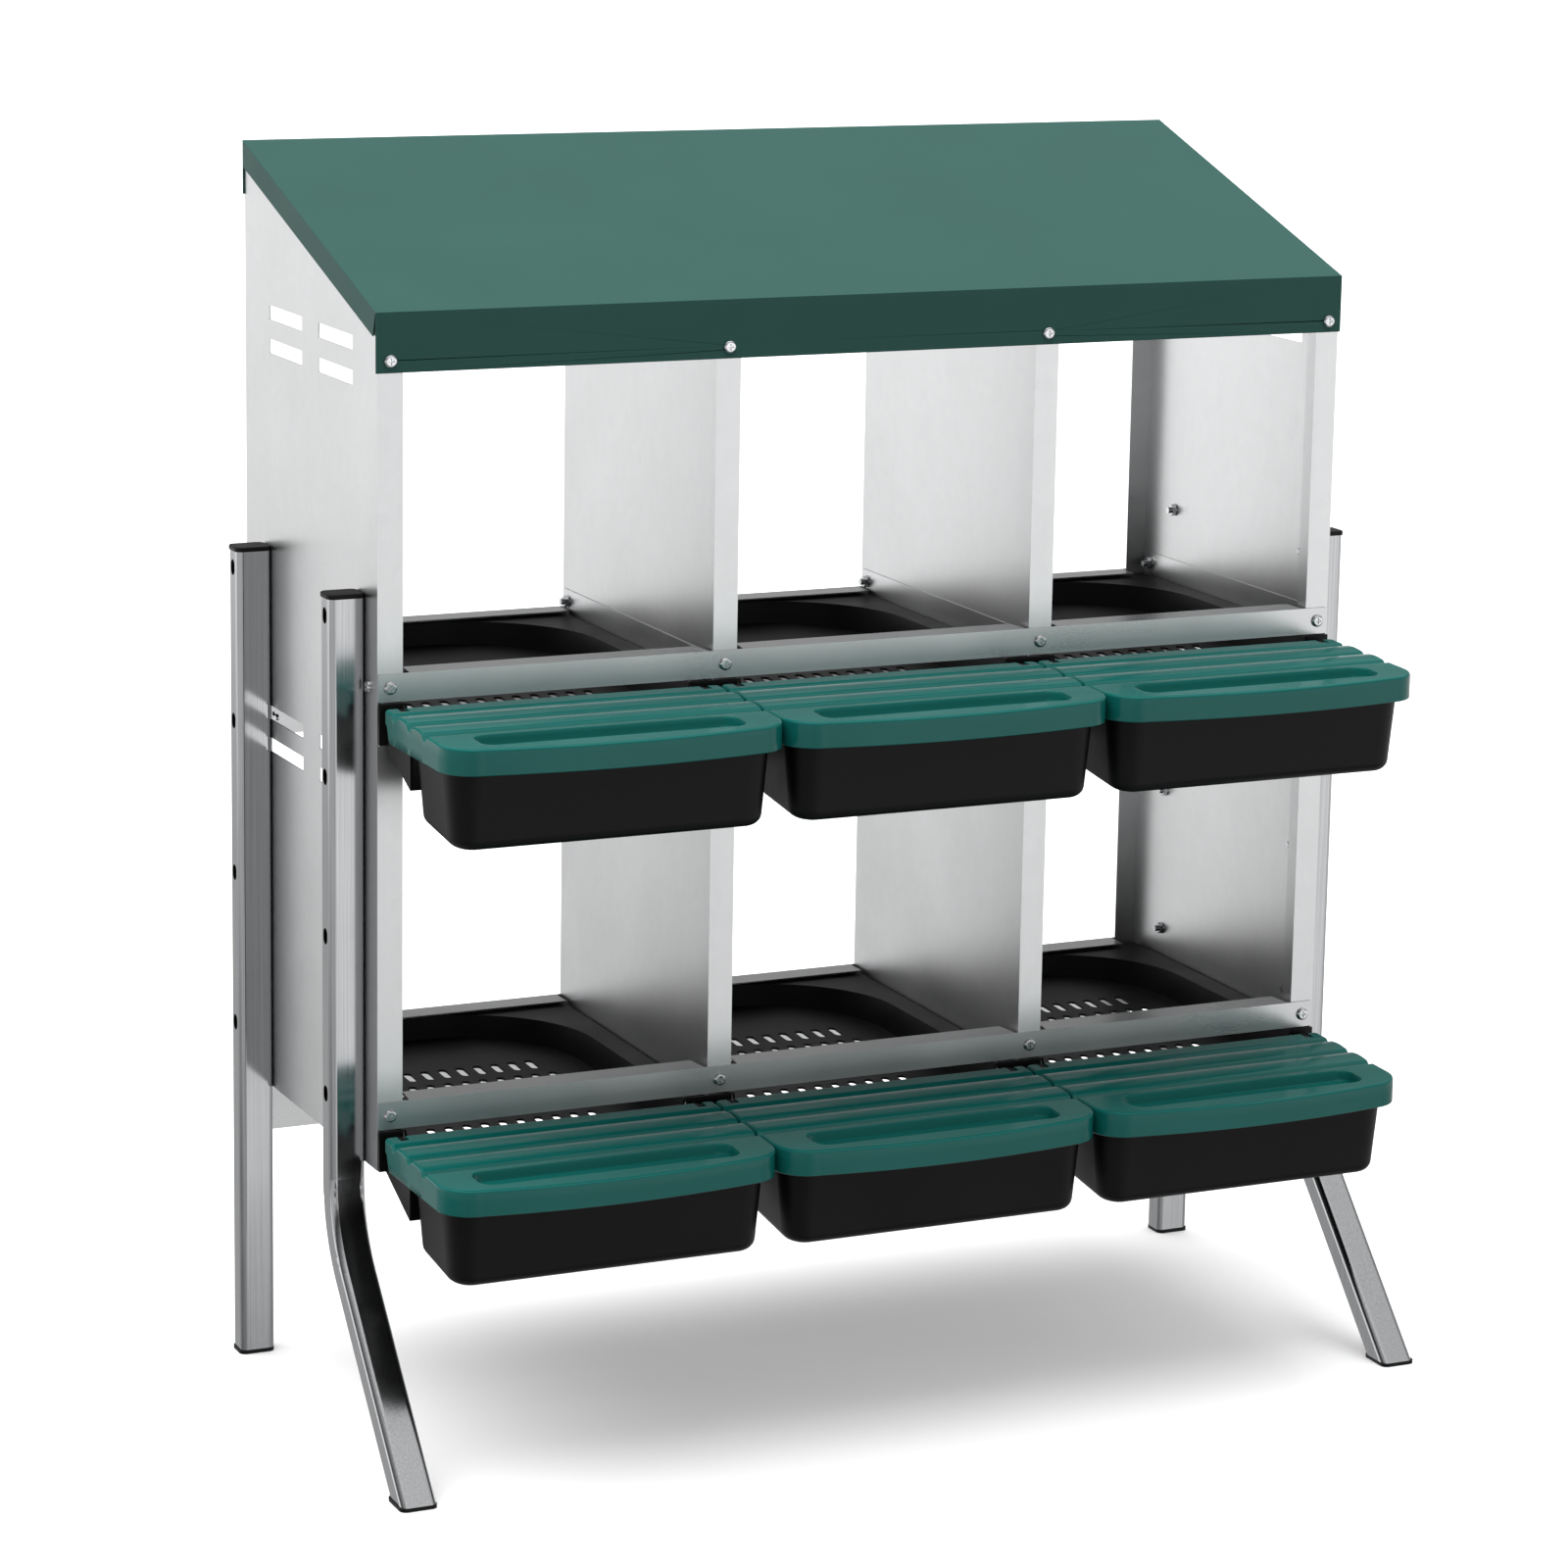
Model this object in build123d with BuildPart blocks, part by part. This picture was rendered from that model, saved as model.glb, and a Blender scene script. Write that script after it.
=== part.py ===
from build123d import *
from math import atan2, cos, radians, sin, tan
import os

os.makedirs("parts", exist_ok=True)

# Two-tier roll-out nesting box: three nests side by side on each tier, on four tube legs.
#
# Frame: X runs left to right along the front, Y runs from the front to the back, Z is up.
# The drawing below puts X = 0 on the left sheet's outer face and Y = 0 on the body's front face.
# save() moves every piece to the part's own frame, whose origin is on the floor under the middle
# of the whole box. Millimetres.

# ---------------------------------------------------------------- driving dimensions
columns = 3
column_names = ("left", "middle", "right")
pitch = 305.0  # one nest, sheet to sheet
sheet = 1.0  # galvanised sheet
body_width = columns * pitch + sheet
body_depth = 342.0
body_bottom = 248.0
tiers = {"lower": 284.0, "upper": 654.0}  # underside of each front rail

flange_front = 22.5  # front stile of each upright sheet
flange_rear = 21.0
flange_return = 15.0  # lip of the stile, turned back into the nest
notch_height = 37.0  # gap in the stile that the tray passes through
louvre_length = 86.0
louvre_height = 12.5
louvre_centres = (103.5, 232.5)
louvre_tops = (954.5, 925.0, 598.0, 569.0)

roof_sheet = 1.2
roof_front_top = 981.0
roof_rear_top = 1092.0
roof_lip_bottom = 930.0
roof_rear_bottom = 1045.0
roof_side_flange = 22.0
roof_overhang = 1.7
roof_screw_height = 940.0

rail_sheet = 1.2
rail_height = 24.0
rail_flange = 25.0
rail_corner = 2.0
rear_rail_drop = 97.0
rear_rail_rise = 3.0
rear_rail_flange = 24.0
rear_screw_drop = 15.0  # rear rail's screws, below the front rail's underside

runner_leg = 21.0
runner_shelf = 14.0
runner_front = 16.5
runner_rear = 338.0
runner_bolt_places = (20.0, 328.0)
runner_bolt_height = 10.0

screw_inset = 11.0  # from the sheet to a stile's screw line
screw_radius = 2.2
screw_head_radius = 5.6
screw_head_height = 2.8
screw_hole = 2.5
bolt_radius = 3.0
bolt_hole = 3.3
bolt_head_radius = 5.4
bolt_head_height = 3.2
nut_flange = 1.2
nut_height = 4.6

leg_width = 32.0
leg_depth = 25.0
leg_wall = 1.5
leg_corner = 6.0
leg_top = 740.0
leg_foot = 3.0
leg_front_y = 28.0
leg_rear_y = 272.0
leg_rake = 43.0  # degrees from upright, below the bend
leg_reach = 175.0  # how far the front foot stands forward of its leg
leg_bend_radius = 120.0
leg_bolt_top = 723.0
leg_bolt_step = 138.0
leg_bolt_count = 4
leg_end = -20.0  # the bent tube is drawn past the floor, then cut level
plug_gap = 0.1
cap_height = 2.0
cap_plug = 9.0

tray_side = 2.8  # gap from the sheet's centre pitch line to the tray's rim
tray_wall = 2.2
rim_top = -1.0  # heights on the tray and the lid are measured from the front rail's underside
rim_thickness = 3.0
rim_rear = 337.0
bowl_side = 24.5
bowl_rear = 325.0
bowl_radius = 120.0
bowl_draft = 12.0
floor_front = -36.0  # underside of the tray's floor at the body's front face
floor_slope = 0.04
chute_side = 7.0
chute_end = -60.0
chute_drop = 27.0
basket_top = -22.0
basket_front = -155.0
basket_rear = -52.0
basket_radius = 26.0
basket_draft = 5.0
basket_floor_rear = -86.0
basket_floor_front = -99.0
basket_floor_radius = 9.0
ear_width = 21.5
ear_gap = 0.5
ear_back = -1.4
ear_front = -3.4
slot_width = 8.0
slot_length = 24.0
slot_pitch = 16.8
slot_count = 11
slot_row_pitch = 37.5
slot_rows = 6
slot_first_row = 34.0

hinge_y = -18.0
hinge_z = -8.5
hinge_pin = 2.6
hinge_bore = 2.66
hinge_boss = 4.6
hinge_width = 6.0
hinge_inset = 16.0  # from the sheet line to the middle of a hinge

lid_side = 1.2
lid_rear = -12.0
lid_front_side = -168.0
lid_front_middle = -178.0
lid_corner = 30.0
lid_wall = 2.2
lid_rear_top = -3.0
lid_front_top = -8.0
lid_skirt = 22.0
lid_rear_wall = 7.0
groove_first = -35.0
groove_step = -37.0
groove_count = 3
groove_half = 2.6
groove_depth = 3.4
ridge_rise = 1.6
recess_length = 236.0
recess_width = 36.0
recess_middle = -139.0
recess_corner = 13.0
recess_depth = 9.0

roof_pitch = atan2(roof_rear_top - roof_front_top, body_depth)
front_screw_heights = [z + rail_height / 2 for z in tiers.values()] + [roof_screw_height]
rear_screw_heights = [z - rear_screw_drop for z in tiers.values()]
leg_centres = (leg_front_y + leg_depth / 2, leg_rear_y + leg_depth / 2)
leg_bolt_heights = [leg_bolt_top - i * leg_bolt_step for i in range(leg_bolt_count)]
nest_middle = (pitch + sheet) / 2
centre_x = body_width / 2
centre_y = (lid_front_middle + body_depth + rail_sheet + screw_head_height) / 2


def save(piece, name, x=0.0, z=0.0):
    """Moves a piece into the row's frame, labels it and writes its STEP file."""
    placed = piece.moved(Location((x - centre_x, -centre_y, z)))
    placed.label = name
    export_step(placed, f"parts/{name}.step")


def roof_underside(y):
    return roof_front_top + y * tan(roof_pitch) - roof_sheet / cos(roof_pitch) - 0.3


def notch_spans():
    """Heights between which a stile is cut away for a tray."""
    return [(z - notch_height, z) for z in tiers.values()]


# ---------------------------------------------------------------- upright sheets
def upright(louvres, leg_holes):
    """A sheet across the body's depth, flanged to +X at its front and rear edges."""
    with BuildPart() as panel:
        with BuildSketch(Plane.YZ):
            with BuildLine():
                Polyline(
                    (0, body_bottom),
                    (body_depth, body_bottom),
                    (body_depth, roof_underside(body_depth)),
                    (0, roof_underside(0)),
                    close=True,
                )
            make_face()
        extrude(amount=sheet)
        for low_y, high_y, low_x, high_x in (
            (0, sheet, 0, flange_front),
            (0, flange_return, flange_front - sheet, flange_front),
            (body_depth - sheet, body_depth, 0, flange_rear),
        ):
            with BuildSketch(Plane.XY.offset(body_bottom)):
                with Locations(((low_x + high_x) / 2, (low_y + high_y) / 2)):
                    Rectangle(high_x - low_x, high_y - low_y)
            extrude(amount=roof_underside(low_y) - body_bottom)
        for low, high in notch_spans():
            with BuildSketch(Plane.XY.offset(low)):
                with Locations(((sheet + flange_front) / 2, flange_return / 2)):
                    Rectangle(flange_front - sheet + 0.02, flange_return + 0.02)
            extrude(amount=high - low, mode=Mode.SUBTRACT)
        for flange_y, heights in ((sheet, front_screw_heights), (body_depth, rear_screw_heights)):
            with BuildSketch(Plane.XZ.offset(-flange_y)):
                for height in heights:
                    with Locations((screw_inset, height)):
                        Circle(screw_hole)
            extrude(amount=sheet, mode=Mode.SUBTRACT)
        with BuildSketch(Plane.YZ):
            for y in runner_bolt_places:
                with Locations((y, tiers["upper"] + runner_bolt_height)):
                    Circle(bolt_hole)
            if louvres:
                for y in louvre_centres:
                    for top in louvre_tops:
                        with Locations((y, top - louvre_height / 2)):
                            Rectangle(louvre_length, louvre_height)
            if leg_holes:
                for y in leg_centres:
                    for height in leg_bolt_heights:
                        with Locations((y, height)):
                            Circle(bolt_hole)
        extrude(amount=sheet, mode=Mode.SUBTRACT)
    return panel.part


side_sheet = upright(louvres=True, leg_holes=True)
partition = upright(louvres=False, leg_holes=False)
save(side_sheet, "side_panel_left")
save(side_sheet.mirror(Plane.YZ.offset(centre_x)), "side_panel_right")
save(partition, "partition_left", x=pitch)
save(partition, "partition_right", x=2 * pitch)

# ---------------------------------------------------------------- roof
roof_left = -roof_overhang
roof_width = body_width + 2 * roof_overhang
roof_rear_y = body_depth + roof_sheet
slope_sheet = roof_sheet / cos(roof_pitch)


def roof_top(y):
    return roof_front_top + y * tan(roof_pitch)


with BuildPart() as roof:
    with BuildSketch(Plane.YZ.offset(roof_left)):
        with BuildLine():
            Polyline(
                (-roof_sheet, roof_lip_bottom),
                (-roof_sheet, roof_top(-roof_sheet)),
                (roof_rear_y, roof_top(roof_rear_y)),
                (roof_rear_y, roof_rear_bottom),
                (body_depth, roof_rear_bottom),
                (body_depth, roof_top(body_depth) - slope_sheet),
                (0, roof_top(0) - slope_sheet),
                (0, roof_lip_bottom),
                close=True,
            )
        make_face()
    extrude(amount=roof_width)
    for side in (roof_left, roof_left + roof_width - roof_sheet):
        with BuildSketch(Plane.YZ.offset(side)):
            with BuildLine():
                Polyline(
                    (0, roof_top(0)),
                    (body_depth, roof_top(body_depth)),
                    (body_depth, roof_top(body_depth) - roof_side_flange / cos(roof_pitch)),
                    (roof_side_flange * sin(roof_pitch), roof_top(0) - roof_side_flange * cos(roof_pitch)),
                    close=True,
                )
            make_face()
        extrude(amount=roof_sheet)
    with BuildSketch(Plane.XZ.offset(roof_sheet)):
        for i in range(columns):
            with Locations((i * pitch + screw_inset, roof_screw_height)):
                Circle(screw_hole)
        with Locations((body_width - screw_inset, roof_screw_height)):
            Circle(screw_hole)
    extrude(amount=-roof_sheet, mode=Mode.SUBTRACT)
save(roof.part, "roof")

# ---------------------------------------------------------------- front and rear rails
screw_columns = [i * pitch + screw_inset for i in range(columns)] + [body_width - screw_inset]


def flange_spans(left_gap, right_gap, stile):
    """X spans between the stiles, where a rail has room for its flange."""
    spans = []
    for i in range(columns):
        low = i * pitch + stile + left_gap
        high = (i + 1) * pitch - right_gap
        if i == columns - 1:
            high -= stile - sheet
        spans.append((low, high))
    return spans


with BuildPart() as front_rail:
    with BuildSketch(Plane.XZ):
        with Locations((body_width / 2, rail_height / 2)):
            RectangleRounded(body_width - 1, rail_height, rail_corner)
        for x in screw_columns:
            with Locations((x, rail_height / 2)):
                Circle(screw_hole, mode=Mode.SUBTRACT)
    extrude(amount=rail_sheet)
    for low, high in flange_spans(6, 3, flange_front):
        with BuildSketch(Plane.XY.offset(rail_height - rail_sheet)):
            with BuildLine():
                Polyline(
                    (low, -rail_sheet),
                    (high, -rail_sheet),
                    (high, 0),
                    (high - 3, rail_flange),
                    (low + 3, rail_flange),
                    (low, 0),
                    close=True,
                )
            make_face()
        extrude(amount=rail_sheet)

with BuildPart() as rear_rail:
    with BuildSketch(Plane.XZ.offset(-body_depth - rail_sheet)):
        with Locations((body_width / 2, (rear_rail_rise - rear_rail_drop) / 2)):
            RectangleRounded(body_width - 1, rear_rail_rise + rear_rail_drop, rail_corner)
        for x in screw_columns:
            with Locations((x, -rear_screw_drop)):
                Circle(screw_hole, mode=Mode.SUBTRACT)
    extrude(amount=rail_sheet)
    for low, high in flange_spans(1.5, 3.5, flange_rear):
        with BuildSketch(Plane.XY.offset(rear_rail_rise - rail_sheet)):
            with Locations(((low + high) / 2, body_depth + (rail_sheet - rear_rail_flange) / 2)):
                Rectangle(high - low, rear_rail_flange + rail_sheet)
        extrude(amount=rail_sheet)

for tier, height in tiers.items():
    save(front_rail.part, f"front_rail_{tier}", z=height)
    save(rear_rail.part, f"rear_rail_{tier}", z=height)

# ---------------------------------------------------------------- runners that carry the trays
shelf_top = rim_top - rim_thickness - 0.2


def runner(leg_up):
    """An angle along the sheet: its shelf carries the tray's rim, its leg lies on the sheet."""
    low = shelf_top - sheet if leg_up else shelf_top - runner_leg
    high = shelf_top + runner_leg + 4 if leg_up else shelf_top
    with BuildPart() as angle:
        with BuildSketch(Plane.XZ.offset(-runner_rear)):
            with Locations((1.5 * sheet, (low + high) / 2)):
                Rectangle(sheet, high - low)
            with Locations((sheet + runner_shelf / 2, shelf_top - sheet / 2)):
                Rectangle(runner_shelf, sheet)
        extrude(amount=runner_rear - runner_front)
        if leg_up:
            with BuildSketch(Plane.YZ):
                for y in runner_bolt_places:
                    with Locations((y, runner_bolt_height)):
                        Circle(bolt_hole)
            extrude(amount=2 * sheet, mode=Mode.SUBTRACT)
    return angle.part


for tier, height in tiers.items():
    right_hand = runner(leg_up=tier == "upper")
    left_hand = right_hand.mirror(Plane.YZ.offset(pitch / 2 + sheet / 2))
    for i, column in enumerate(column_names):
        save(right_hand, f"tray_runner_{tier}_{column}_l", x=i * pitch, z=height)
        save(left_hand, f"tray_runner_{tier}_{column}_r", x=i * pitch, z=height)

# ---------------------------------------------------------------- nest tray with its egg basket
def floor_line(y):
    """Underside of the tray's floor: a gentle fall to the front, then the steeper chute."""
    if y >= 0:
        return floor_front + floor_slope * y
    return floor_front + chute_drop * y / -chute_end


def bowl_block(inset, lift, front):
    """The bowl with its open front, drafted inwards to a floor that falls to the front."""
    half = nest_middle - bowl_side - inset
    side_step = half - bowl_radius
    straight = bowl_rear - inset - bowl_radius
    back = straight + bowl_radius
    start = -14
    with BuildPart() as block:
        with BuildSketch(Plane.XY.offset(rim_top)):
            with BuildLine():
                Line((nest_middle - half, start), (nest_middle + half, start))
                Line((nest_middle + half, start), (nest_middle + half, straight))
                RadiusArc((nest_middle + half, straight), (nest_middle + side_step, back), -bowl_radius)
                Line((nest_middle + side_step, back), (nest_middle - side_step, back))
                RadiusArc((nest_middle - side_step, back), (nest_middle - half, straight), -bowl_radius)
                Line((nest_middle - half, straight), (nest_middle - half, start))
            make_face()
        extrude(amount=-45, taper=bowl_draft)
        with BuildSketch(Plane.YZ):
            with BuildLine():
                Polyline(
                    (front, floor_line(0) + lift),
                    (0, floor_line(0) + lift),
                    (bowl_rear + 5, floor_line(bowl_rear + 5) + lift),
                    (bowl_rear + 5, rim_top),
                    (front, rim_top),
                    close=True,
                )
            make_face()
        extrude(amount=pitch, mode=Mode.INTERSECT)
    return block.part


def basket_block(inset, lift):
    """The egg basket: a drafted box with round corners and a floor that falls to the front."""
    front = basket_front + inset
    rear = basket_rear - inset
    with BuildPart() as block:
        with BuildSketch(Plane.XY.offset(basket_top)):
            with Locations((nest_middle, (front + rear) / 2)):
                width = 2 * (nest_middle - chute_side - 1 - inset)
                RectangleRounded(width, rear - front, basket_radius - inset)
        extrude(amount=-95, taper=basket_draft)
        with BuildSketch(Plane.YZ):
            with BuildLine():
                Polyline(
                    (basket_front, basket_floor_front + lift),
                    (basket_rear, basket_floor_rear + lift),
                    (basket_rear, basket_top),
                    (basket_front, basket_top),
                    close=True,
                )
            make_face()
        extrude(amount=pitch, mode=Mode.INTERSECT)
        fillet(block.faces().sort_by(Axis.Z)[0].edges(), basket_floor_radius - inset)
    return block.part


def chute_block(inset, lift, back):
    """The sloping mouth between the body's front face and the basket."""
    low_x = chute_side + inset
    end = chute_end - 2 * inset
    with BuildPart() as block:
        with BuildSketch(Plane.YZ.offset(low_x)):
            with BuildLine():
                Polyline(
                    (back, floor_line(back) + lift),
                    (end, floor_line(end) + lift),
                    (end, basket_top),
                    (back, basket_top),
                    close=True,
                )
            make_face()
        extrude(amount=2 * (nest_middle - low_x))
    return block.part


def slot_places():
    """Centres of the floor's drain slots: rows across the nest, every other row half a step over."""
    places = []
    for row in range(slot_rows):
        count = slot_count - row % 2
        for i in range(count):
            x = nest_middle + (i - (count - 1) / 2) * slot_pitch
            places.append((x, slot_first_row + row * slot_row_pitch))
    return places


with BuildPart() as tray:
    with BuildSketch(Plane.XY.offset(rim_top - rim_thickness)):
        with Locations((nest_middle, (1 + rim_rear) / 2)):
            Rectangle(pitch + sheet - 2 * tray_side, rim_rear - 1)
    extrude(amount=rim_thickness)
    fillet(tray.edges().filter_by(Axis.Z).group_by(Axis.Y)[-1], 10)
    add(bowl_block(-tray_wall, 0, ear_front))
    add(chute_block(0, 0, ear_back))
    add(basket_block(0, 0))
    for low_x in (ear_gap, pitch + sheet - ear_gap - ear_width):
        with BuildSketch(Plane.XZ.offset(-ear_back)):
            with Locations((low_x + ear_width / 2, (floor_front + rim_top) / 2)):
                Rectangle(ear_width, rim_top - floor_front)
        extrude(amount=ear_back - ear_front)
    add(bowl_block(0, tray_wall, -14), mode=Mode.SUBTRACT)
    add(chute_block(tray_wall, tray_wall, ear_front), mode=Mode.SUBTRACT)
    add(basket_block(tray_wall, tray_wall), mode=Mode.SUBTRACT)
    with BuildSketch(Plane.XY.offset(floor_front - 5)):
        for place in slot_places():
            with Locations(place):
                SlotOverall(slot_length, slot_width, rotation=90)
    extrude(amount=30, mode=Mode.SUBTRACT)
    for middle in (hinge_inset, pitch + sheet - hinge_inset):
        with BuildSketch(Plane.YZ.offset(middle - hinge_width / 2)):
            with Locations((hinge_y, hinge_z)):
                Circle(hinge_boss)
            with Locations(((hinge_y + ear_front) / 2, hinge_z)):
                Rectangle(ear_front - hinge_y, 1.5 * hinge_boss)
            with Locations((hinge_y, hinge_z)):
                Circle(hinge_bore, mode=Mode.SUBTRACT)
        extrude(amount=hinge_width)


# ---------------------------------------------------------------- basket lid
lid_slope = (lid_rear_top - lid_front_top) / (lid_rear - lid_front_middle)


def lid_level(y):
    return lid_rear_top + (y - lid_rear) * lid_slope


def lid_outline(inset):
    """Plan of the lid: square at the hinge edge, bowed in front with round corners."""
    half = nest_middle - lid_side - inset
    corner = lid_corner - inset
    side_end = lid_front_side + lid_corner
    front = lid_front_middle + inset
    rear = lid_rear - inset
    with BuildSketch() as plan:
        with BuildLine():
            Line((nest_middle - half, side_end), (nest_middle - half, rear))
            Line((nest_middle - half, rear), (nest_middle + half, rear))
            Line((nest_middle + half, rear), (nest_middle + half, side_end))
            right = (nest_middle + half - corner, side_end - corner)
            left = (nest_middle - half + corner, side_end - corner)
            RadiusArc((nest_middle + half, side_end), right, corner)
            ThreePointArc(right, (nest_middle, front), left)
            RadiusArc(left, (nest_middle - half, side_end), corner)
        make_face()
    return plan.sketch


def lid_section(drop, bottom):
    """Side view of the lid's top: flat hinge strip, ridges between grooves, flat handle zone."""
    with BuildSketch() as section:
        with BuildLine():
            edge = (lid_rear, lid_level(lid_rear) - drop)
            Line((lid_rear, bottom), edge)
            for i in range(groove_count):
                y = groove_first + i * groove_step
                start = (y + groove_half, lid_level(y) - drop)
                valley = (y, lid_level(y) - drop - groove_depth)
                if i == 0:
                    Line(edge, start)
                else:
                    middle = (edge[0] + start[0]) / 2
                    ThreePointArc(edge, (middle, lid_level(middle) - drop + ridge_rise), start)
                Line(start, valley)
                edge = (y - groove_half, lid_level(y) - drop)
                Line(valley, edge)
            nose = (lid_front_middle, lid_level(lid_front_middle) - drop)
            Line(edge, nose)
            Line(nose, (lid_front_middle, bottom))
            Line((lid_front_middle, bottom), (lid_rear, bottom))
        make_face()
        grooves = section.vertices().filter_by(
            lambda v: groove_first + groove_count * groove_step < v.X < groove_first + 5
        )
        fillet(grooves, 1.3)
    return section.sketch


def lid_block(inset, drop):
    bottom = lid_front_top - lid_skirt
    with BuildPart() as block:
        with BuildSketch(Plane.XY.offset(bottom)):
            add(lid_outline(inset))
        extrude(amount=lid_skirt + 10)
        with BuildSketch(Plane.YZ):
            add(lid_section(drop, bottom))
        extrude(amount=pitch + sheet, mode=Mode.INTERSECT)
    return block.part


with BuildPart() as lid:
    add(lid_block(0, 0))
    add(lid_block(lid_wall, lid_wall), mode=Mode.SUBTRACT)
    with BuildSketch(Plane.XY.offset(lid_front_top - lid_skirt)):
        with Locations((nest_middle, lid_rear - lid_wall)):
            Rectangle(pitch, 2 * lid_wall + 0.2)
    extrude(amount=lid_skirt - lid_rear_wall, mode=Mode.SUBTRACT)
    recess_level = lid_level(recess_middle)
    with BuildSketch(Plane.XY.offset(recess_level - recess_depth - lid_wall)):
        with Locations((nest_middle, recess_middle)):
            outer_length = recess_length + 2 * lid_wall
            outer_width = recess_width + 2 * lid_wall
            RectangleRounded(outer_length, outer_width, recess_corner + lid_wall)
    extrude(amount=recess_depth + lid_wall - 1)
    with BuildSketch(Plane.XY.offset(recess_level - recess_depth)):
        with Locations((nest_middle, recess_middle)):
            RectangleRounded(recess_length, recess_width, recess_corner)
    extrude(amount=recess_depth + 5, mode=Mode.SUBTRACT)
    for middle in (hinge_inset, 2 * nest_middle - hinge_inset):
        with BuildSketch(Plane.XY.offset(hinge_z - 6)):
            with Locations((middle, hinge_y + 2)):
                Rectangle(hinge_width + 2, 18)
        extrude(amount=15, mode=Mode.SUBTRACT)
        for side in (-1, 1):
            rib = middle + side * (hinge_width / 2 + 2)
            with BuildSketch(Plane.YZ.offset(rib - 1)):
                with BuildLine():
                    Polyline(
                        (lid_rear, lid_level(lid_rear) - 0.5),
                        (lid_rear, hinge_z - 2),
                        (hinge_y, hinge_z - 4),
                        (hinge_y - 4, hinge_z - 4),
                        (hinge_y - 10, lid_level(hinge_y - 10) - 0.5),
                        close=True,
                    )
                make_face()
            extrude(amount=2)
        with BuildSketch(Plane.YZ.offset(middle - hinge_width / 2 - 1.5)):
            with Locations((hinge_y, hinge_z)):
                Circle(hinge_pin)
        extrude(amount=hinge_width + 3)

for tier, height in tiers.items():
    for i, column in enumerate(column_names):
        save(tray.part, f"nest_tray_{tier}_{column}", x=i * pitch, z=height)
        save(lid.part, f"basket_lid_{tier}_{column}", x=i * pitch, z=height)

# ---------------------------------------------------------------- legs
leg_middle_x = -leg_width / 2


def tube_section(inset):
    RectangleRounded(leg_width - 2 * inset, leg_depth - 2 * inset, leg_corner - inset)


def leg_drills(middle_y):
    """Wide access holes in the outer wall, bolt holes in the wall that lies on the body."""
    with BuildPart() as drills:
        with BuildSketch(Plane.YZ.offset(-leg_width - 1)):
            for height in leg_bolt_heights:
                with Locations((middle_y, height)):
                    SlotOverall(14, 10, rotation=90)
        extrude(amount=leg_wall + 2)
        with BuildSketch(Plane.YZ.offset(-leg_wall - 1)):
            for height in leg_bolt_heights:
                with Locations((middle_y, height)):
                    Circle(bolt_hole)
        extrude(amount=leg_wall + 2)
    return drills.part


with BuildPart() as rear_leg:
    with BuildSketch(Plane.XY.offset(leg_foot)):
        with Locations((leg_middle_x, leg_centres[1])):
            tube_section(0)
    extrude(amount=leg_top - leg_foot - cap_height)
    with BuildSketch(Plane.XY.offset(leg_foot)):
        with Locations((leg_middle_x, leg_centres[1])):
            tube_section(leg_wall)
    extrude(amount=leg_top - leg_foot - cap_height, mode=Mode.SUBTRACT)
    add(leg_drills(leg_centres[1]), mode=Mode.SUBTRACT)

rake = radians(leg_rake)
bend_corner = leg_reach / tan(rake)
bend_tangent = leg_bend_radius * tan(rake / 2)


def front_leg_tube(inset):
    y = leg_centres[0]
    with BuildPart() as tube:
        with BuildLine():
            top = (leg_middle_x, y, leg_top - cap_height)
            bend_start = (leg_middle_x, y, bend_corner + bend_tangent)
            bend_end = (leg_middle_x, y - bend_tangent * sin(rake), bend_corner - bend_tangent * cos(rake))
            Line(top, bend_start)
            TangentArc(bend_start, bend_end, tangent=(0, 0, -1))
            Line(bend_end, (leg_middle_x, y - (bend_corner - leg_end) * tan(rake), leg_end))
        with BuildSketch(Plane(origin=top, x_dir=(1, 0, 0), z_dir=(0, 0, -1))):
            tube_section(inset)
        sweep()
    return tube.part


def above(level):
    """A big block above a level, which cuts the bent tube flat for its foot."""
    with BuildPart() as block:
        with BuildSketch(Plane.XY.offset(level)):
            Rectangle(4 * pitch, 4 * pitch)
        extrude(amount=2 * leg_top)
    return block.part


with BuildPart() as front_leg:
    add(front_leg_tube(0))
    add(front_leg_tube(leg_wall), mode=Mode.SUBTRACT)
    add(above(leg_foot), mode=Mode.INTERSECT)
    add(leg_drills(leg_centres[0]), mode=Mode.SUBTRACT)


def leg_cap(middle_y):
    with BuildPart() as cap:
        with BuildSketch(Plane.XY.offset(leg_top - cap_height)):
            with Locations((leg_middle_x - 0.5, middle_y)):
                RectangleRounded(leg_width + 1, leg_depth + 2, leg_corner + 0.5)
        extrude(amount=2 * cap_height)
        fillet(cap.faces().sort_by(Axis.Z)[-1].edges(), 1.5)
        with BuildSketch(Plane.XY.offset(leg_top - cap_plug)):
            with Locations((leg_middle_x, middle_y)):
                tube_section(leg_wall + plug_gap)
        extrude(amount=cap_plug - cap_height)
    return cap.part


with BuildPart() as rear_foot:
    with BuildSketch():
        with Locations((leg_middle_x - 0.5, leg_centres[1])):
            RectangleRounded(leg_width + 1, leg_depth + 2, leg_corner + 0.5)
    extrude(amount=leg_foot)
    with BuildSketch(Plane.XY.offset(leg_foot)):
        with Locations((leg_middle_x, leg_centres[1])):
            tube_section(leg_wall + plug_gap)
    extrude(amount=15)

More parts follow.
